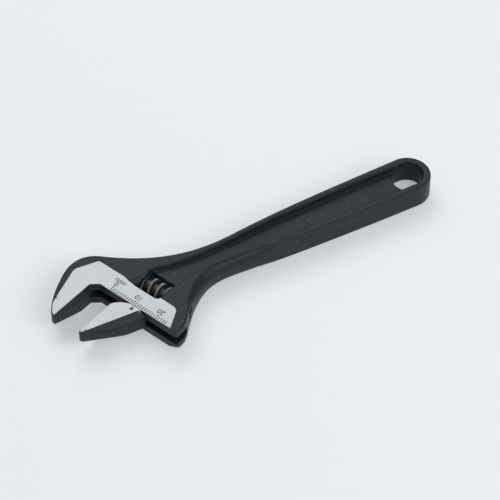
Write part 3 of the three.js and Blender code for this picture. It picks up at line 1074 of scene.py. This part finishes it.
def new_group(name, inputs, outputs):
    """A shader node group with named float inputs (name, default) and float or vector outputs."""
    group = bpy.data.node_groups.new(name, "ShaderNodeTree")
    for label, default in inputs:
        socket = group.interface.new_socket(label, in_out="INPUT", socket_type="NodeSocketFloat")
        socket.default_value = default
    for label, kind in outputs:
        group.interface.new_socket(label, in_out="OUTPUT", socket_type=kind)
    nodes = Nodes(group)
    return group, nodes, nodes.add("NodeGroupInput"), nodes.add("NodeGroupOutput")


def grain_group():
    """Fine forging grain: two sizes of noise and rare bright specks in patches, from Object
    coordinates."""
    name = "wrench_grain"
    if name in bpy.data.node_groups:
        return bpy.data.node_groups[name]
    group, nodes, source, target = new_group(
        name,
        [("Scale", 2200.0), ("Blotch Scale", 160.0), ("Speck Scale", 2100.0), ("Speck Amount", 0.1)],
        [("Grain", "NodeSocketFloat"), ("Blotch", "NodeSocketFloat"), ("Specks", "NodeSocketFloat")])
    place_node = nodes.add("ShaderNodeTexCoord")
    fine = nodes.add("ShaderNodeTexNoise", in_Detail=3.0, in_Roughness=0.6)
    broad = nodes.add("ShaderNodeTexNoise", in_Detail=4.0, in_Roughness=0.55)
    cells = nodes.add("ShaderNodeTexVoronoi", feature="F1")
    chance = nodes.add("ShaderNodeTexWhiteNoise", noise_dimensions="3D")
    near = nodes.add("ShaderNodeMath", operation="LESS_THAN")
    near.inputs[1].default_value = 0.22
    rare = nodes.add("ShaderNodeMath", operation="LESS_THAN")
    both = nodes.add("ShaderNodeMath", operation="MULTIPLY")
    patches = nodes.add("ShaderNodeTexNoise", in_Scale=75.0, in_Detail=0.0)
    patch = nodes.add("ShaderNodeMapRange")
    patch.inputs["From Min"].default_value = 0.60
    patch.inputs["From Max"].default_value = 0.72
    share = nodes.add("ShaderNodeMath", operation="MULTIPLY")
    nodes.wire(place_node, "Object", patches, "Vector")
    nodes.wire(patches, "Fac", patch, "Value")
    nodes.wire(patch, "Result", share, 0)
    for texture, socket in ((fine, "Scale"), (broad, "Blotch Scale"), (cells, "Speck Scale")):
        nodes.wire(place_node, "Object", texture, "Vector")
        nodes.wire(source, socket, texture, "Scale")
    nodes.wire(cells, "Position", chance, "Vector")
    nodes.wire(cells, "Distance", near, 0)
    nodes.wire(chance, "Value", rare, 0)
    nodes.wire(source, "Speck Amount", share, 1)
    nodes.wire(share, 0, rare, 1)
    nodes.wire(near, 0, both, 0)
    nodes.wire(rare, 0, both, 1)
    nodes.wire(fine, "Fac", target, "Grain")
    nodes.wire(broad, "Fac", target, "Blotch")
    nodes.wire(both, 0, target, "Specks")
    return group


def brushed_group():
    """Grinding lines: noise squeezed across the slide direction, from Object coordinates."""
    name = "wrench_brushed"
    if name in bpy.data.node_groups:
        return bpy.data.node_groups[name]
    group, nodes, source, target = new_group(name, [("Scale", 900.0), ("Stretch", 0.04)],
                                             [("Lines", "NodeSocketFloat")])
    place_node = nodes.add("ShaderNodeTexCoord")
    turn = nodes.add("ShaderNodeMapping")
    turn.inputs["Rotation"].default_value[2] = -math.atan2(SLIDE[1], SLIDE[0])
    squeeze = nodes.add("ShaderNodeVectorMath", operation="MULTIPLY")
    factors = nodes.add("ShaderNodeCombineXYZ", in_X=1.0, in_Z=1.0)
    lines = nodes.add("ShaderNodeTexNoise", in_Detail=2.0, in_Roughness=0.7)
    nodes.wire(place_node, "Object", turn, "Vector")
    nodes.wire(turn, "Vector", squeeze, 0)
    nodes.wire(source, "Stretch", factors, "Y")
    nodes.wire(factors, "Vector", squeeze, 1)
    nodes.wire(squeeze, "Vector", lines, "Vector")
    nodes.wire(source, "Scale", lines, "Scale")
    nodes.wire(lines, "Fac", target, "Lines")
    return group


def new_material(name):
    """An empty material with its Principled shader and output joined."""
    material = bpy.data.materials.new(name)
    material.use_nodes = True
    material.node_tree.nodes.clear()
    nodes = Nodes(material.node_tree)
    shader = nodes.add("ShaderNodeBsdfPrincipled")
    output = nodes.add("ShaderNodeOutputMaterial")
    nodes.wire(shader, "BSDF", output, "Surface")
    return material, nodes, shader


def mix(nodes, kind, sockets, values):
    """A mix node's result. Factor, low and high go in as numbers, colours or other nodes' sockets."""
    node = nodes.add("ShaderNodeMix", data_type=kind)
    for socket, value in zip(sockets, values):
        if isinstance(value, bpy.types.NodeSocket):
            nodes.link(value, node.inputs[socket])
        else:
            node.inputs[socket].default_value = value
    return node


def mix_values(nodes, factor, low, high):
    """low + factor (high - low), each a socket or a number."""
    return mix(nodes, "FLOAT", (0, 2, 3), (factor, low, high)).outputs[0]


def mix_colours(nodes, factor, low, high):
    """low + factor (high - low), the last two sockets or colours."""
    return mix(nodes, "RGBA", (0, 6, 7), (factor, low, high)).outputs[2]


def add_bump(nodes, shader, height, strength, distance):
    """Bumps the shader's normal by a height socket."""
    bump = nodes.add("ShaderNodeBump", in_Strength=strength, in_Distance=distance)
    nodes.link(height, bump.inputs["Height"])
    nodes.wire(bump, "Normal", shader, "Normal")


def group_node(nodes, group, **values):
    node = nodes.add("ShaderNodeGroup", node_tree=group)
    for name, value in values.items():
        node.inputs[name.replace("_", " ")].default_value = value
    return node


def forging_material(settings):
    """Black-oxide forging with a ground bright face where the piece's ground attribute is 1."""
    name = "blackened_and_ground"
    if name in bpy.data.materials:
        return bpy.data.materials[name]
    material, nodes, shader = new_material(name)
    black = tuple(settings.black) + (1.0,)
    steel = tuple(settings.steel) + (1.0,)
    mask = nodes.add("ShaderNodeAttribute", attribute_name="ground").outputs["Fac"]
    grain = group_node(nodes, grain_group(), Speck_Amount=0.08)
    lines = group_node(nodes, brushed_group())
    light_black = tuple(min(1.0, c * 1.5) for c in black[:3]) + (1.0,)
    oxide = mix_colours(nodes, grain.outputs["Blotch"], black, light_black)
    speckled = mix_colours(nodes, grain.outputs["Specks"], oxide, (0.50, 0.50, 0.48, 1.0))
    dull_steel = tuple(c * 0.86 for c in steel[:3]) + (1.0,)
    ground = mix_colours(nodes, lines.outputs["Lines"], dull_steel, steel)
    nodes.link(mix_colours(nodes, mask, speckled, ground), shader.inputs["Base Color"])
    rough_black = mix_values(nodes, grain.outputs["Blotch"], 0.40, 0.52)
    rough_steel = mix_values(nodes, lines.outputs["Lines"], 0.34, 0.48)
    nodes.link(mix_values(nodes, mask, rough_black, rough_steel), shader.inputs["Roughness"])
    nodes.link(mix_values(nodes, mask, 0.0, 0.9), shader.inputs["Metallic"])
    shader.inputs["Specular IOR Level"].default_value = 0.28
    height = mix_values(nodes, mask, grain.outputs["Grain"], lines.outputs["Lines"])
    add_bump(nodes, shader, height, 0.35, 0.00006)
    return material


def worm_material():
    """Dark oiled steel whose knurled crests take a brighter colour at the serration tips."""
    material, nodes, shader = new_material("worn_worm")
    mask = nodes.add("ShaderNodeAttribute", attribute_name="ground").outputs["Fac"]
    grain = group_node(nodes, grain_group(), Scale=3000.0, Speck_Amount=0.0)
    dark = mix_colours(nodes, grain.outputs["Blotch"],
                       (0.014, 0.016, 0.020, 1.0), (0.028, 0.031, 0.036, 1.0))
    # Brighter colour painted on the crests' serration tips.
    bright_tips = mix_colours(nodes, grain.outputs["Grain"], (0.26, 0.27, 0.28, 1.0), (0.62, 0.63, 0.64, 1.0))
    nodes.link(mix_colours(nodes, mask, dark, bright_tips), shader.inputs["Base Color"])
    nodes.link(mix_values(nodes, mask, 0.4, 0.36), shader.inputs["Roughness"])
    nodes.link(mix_values(nodes, mask, 0.2, 0.75), shader.inputs["Metallic"])
    add_bump(nodes, shader, grain.outputs["Grain"], 0.3, 0.00005)
    return material


def plain_steel_material(name, colour, roughness):
    material, nodes, shader = new_material(name)
    grain = group_node(nodes, grain_group(), Scale=2600.0, Speck_Amount=0.0)
    pale = tuple(min(1.0, c * 1.4) for c in colour) + (1.0,)
    colours = mix_colours(nodes, grain.outputs["Grain"], tuple(colour) + (1.0,), pale)
    nodes.link(colours, shader.inputs["Base Color"])
    rough = mix_values(nodes, grain.outputs["Blotch"], roughness, roughness + 0.15)
    nodes.link(rough, shader.inputs["Roughness"])
    shader.inputs["Metallic"].default_value = 0.9
    add_bump(nodes, shader, grain.outputs["Grain"], 0.25, 0.00004)
    return material


def mark_material():
    """Dark etched marks, slightly uneven."""
    name = "etched_marks"
    if name in bpy.data.materials:
        return bpy.data.materials[name]
    material, nodes, shader = new_material(name)
    grain = group_node(nodes, grain_group(), Scale=5000.0, Speck_Amount=0.0)
    colours = mix_colours(nodes, grain.outputs["Grain"],
                          (0.035, 0.035, 0.037, 1.0), (0.10, 0.10, 0.105, 1.0))
    nodes.link(colours, shader.inputs["Base Color"])
    nodes.link(mix_values(nodes, grain.outputs["Grain"], 0.5, 0.7), shader.inputs["Roughness"])
    return material


def floor_material(colour):
    material, nodes, shader = new_material("floor_paper")
    grain = group_node(nodes, grain_group(), Scale=1500.0, Blotch_Scale=14.0, Speck_Amount=0.0)
    pale = tuple(colour) + (1.0,)
    dull = tuple(c * 0.985 for c in colour) + (1.0,)
    nodes.link(mix_colours(nodes, grain.outputs["Blotch"], dull, pale), shader.inputs["Base Color"])
    shader.inputs["Roughness"].default_value = 0.75
    shader.inputs["Emission Color"].default_value = (0.93, 0.97, 1.0, 1.0)
    shader.inputs["Emission Strength"].default_value = 0.36
    return material


# ---- stage ----------------------------------------------------------------------------------------

CAMERA_TARGET = (25.16, 44.66)
CAMERA_TOWARDS = (0.6349, -0.7726)
LENS_PER_FRAME = 4.8
SENSOR = 36.0
CAMERA_SHIFT = (-0.008, 0.002)
FLOOR_HALF = 4.0


def aim(thing, position, target):
    """Puts a light or camera at a position and turns it to look at the target."""
    thing.location = position
    turn = (Vector(target) - Vector(position)).to_track_quat("-Z", "Y")
    thing.rotation_euler = turn.to_euler()


def area_light(name, position, target, size, energy):
    light = bpy.data.lights.new(name, "AREA")
    light.shape = "RECTANGLE"
    light.size, light.size_y = size
    light.energy = energy
    lamp = bpy.data.objects.new(name, light)
    aim(lamp, position, target)
    bpy.context.scene.collection.objects.link(lamp)


class SCENE_OT_wrench_stage(bpy.types.Operator):
    """Build the pale floor, the soft studio light and the camera"""
    bl_idname = "scene.wrench_stage"
    bl_label = "Stage"

    def execute(self, context):
        settings = context.scene.wrench_stage
        half = FLOOR_HALF
        corners = [(-half, -half, 0), (half, -half, 0), (half, half, 0), (-half, half, 0)]
        mesh = bpy.data.meshes.new("floor")
        mesh.from_pydata(corners, [], [(0, 1, 2, 3)])
        floor = bpy.data.objects.new("floor", mesh)
        context.scene.collection.objects.link(floor)
        give_material(floor, floor_material(settings.floor_colour))

        world = bpy.data.worlds.new("studio")
        context.scene.world = world
        world.use_nodes = True
        background = world.node_tree.nodes["Background"]
        background.inputs["Color"].default_value = (0.93, 0.96, 1.0, 1.0)
        background.inputs["Strength"].default_value = settings.world_strength

        target = place([(CAMERA_TARGET[0], CAMERA_TARGET[1], THICK)])[0]
        toward = CAMERA_TOWARDS[0] * SLIDE + CAMERA_TOWARDS[1] * ACROSS
        rise = settings.camera_elevation
        offset_vector = toward * math.cos(rise) + np.array([0, 0, math.sin(rise)])
        position = target + settings.camera_distance * offset_vector
        camera_data = bpy.data.cameras.new("camera")
        camera_data.sensor_width = SENSOR
        camera_data.lens = SENSOR * LENS_PER_FRAME
        camera_data.shift_x, camera_data.shift_y = CAMERA_SHIFT
        camera_data.clip_start = 0.01
        camera = bpy.data.objects.new("camera", camera_data)
        aim(camera, position, target)
        context.scene.collection.objects.link(camera)
        context.scene.camera = camera

        away = -toward
        up = np.array([0, 0, 1.0])
        right = np.cross(away, up)
        lights = (
            ("top_softbox", away * 0.35 + up * 0.9, (1.2, 0.9), 1.0),
            ("back_softbox", away * 0.9 - right * 0.3 + up * 0.95, (1.2, 0.8), 5.6),
            ("side_softbox", SLIDE * 0.85 + up * 0.7, (0.8, 0.6), 4.4),
        )
        for name, place_of_light, size, energy in lights:
            area_light(name, place_of_light, np.zeros(3), size, energy)
        context.scene.view_settings.view_transform = "Standard"
        return {"FINISHED"}


# ---- add-on ---------------------------------------------------------------------------------------

class VIEW3D_PT_wrench(bpy.types.Panel):
    """Buttons for the wrench's pieces"""
    bl_label = "Adjustable Wrench"
    bl_idname = "VIEW3D_PT_wrench"
    bl_space_type = "VIEW_3D"
    bl_region_type = "UI"
    bl_category = "Wrench"

    def draw(self, context):
        for operator in OPERATORS:
            self.layout.operator(operator.bl_idname)
        scene = context.scene
        for group_name, _ in SETTINGS:
            settings = getattr(scene, group_name)
            box = self.layout.box()
            for name in settings.__annotations__:
                box.prop(settings, name)


SETTINGS = (
    ("wrench_forging", WrenchForgingSettings),
    ("wrench_worm", WrenchWormSettings),
    ("wrench_marks", WrenchMarkSettings),
    ("wrench_stage", WrenchStageSettings),
)
OPERATORS = (
    OBJECT_OT_wrench_forging,
    OBJECT_OT_wrench_jaw,
    OBJECT_OT_wrench_worm,
    OBJECT_OT_wrench_pin,
    OBJECT_OT_wrench_spring,
    OBJECT_OT_wrench_scale,
    OBJECT_OT_wrench_pointer,
    SCENE_OT_wrench_stage,
)


def register():
    for _, settings in SETTINGS:
        bpy.utils.register_class(settings)
    for operator in OPERATORS:
        bpy.utils.register_class(operator)
    bpy.utils.register_class(VIEW3D_PT_wrench)
    for name, settings in SETTINGS:
        setattr(bpy.types.Scene, name, bpy.props.PointerProperty(type=settings))


def unregister():
    for name, _ in SETTINGS:
        delattr(bpy.types.Scene, name)
    bpy.utils.unregister_class(VIEW3D_PT_wrench)
    for operator in reversed(OPERATORS):
        bpy.utils.unregister_class(operator)
    for _, settings in reversed(SETTINGS):
        bpy.utils.unregister_class(settings)


def main():
    register()
    bpy.ops.object.wrench_forging()
    bpy.ops.object.wrench_jaw()
    bpy.ops.object.wrench_worm()
    bpy.ops.object.wrench_pin()
    bpy.ops.object.wrench_spring()
    bpy.ops.object.wrench_scale()
    bpy.ops.object.wrench_pointer()
    bpy.ops.scene.wrench_stage()


if __name__ == "__main__":
    main()
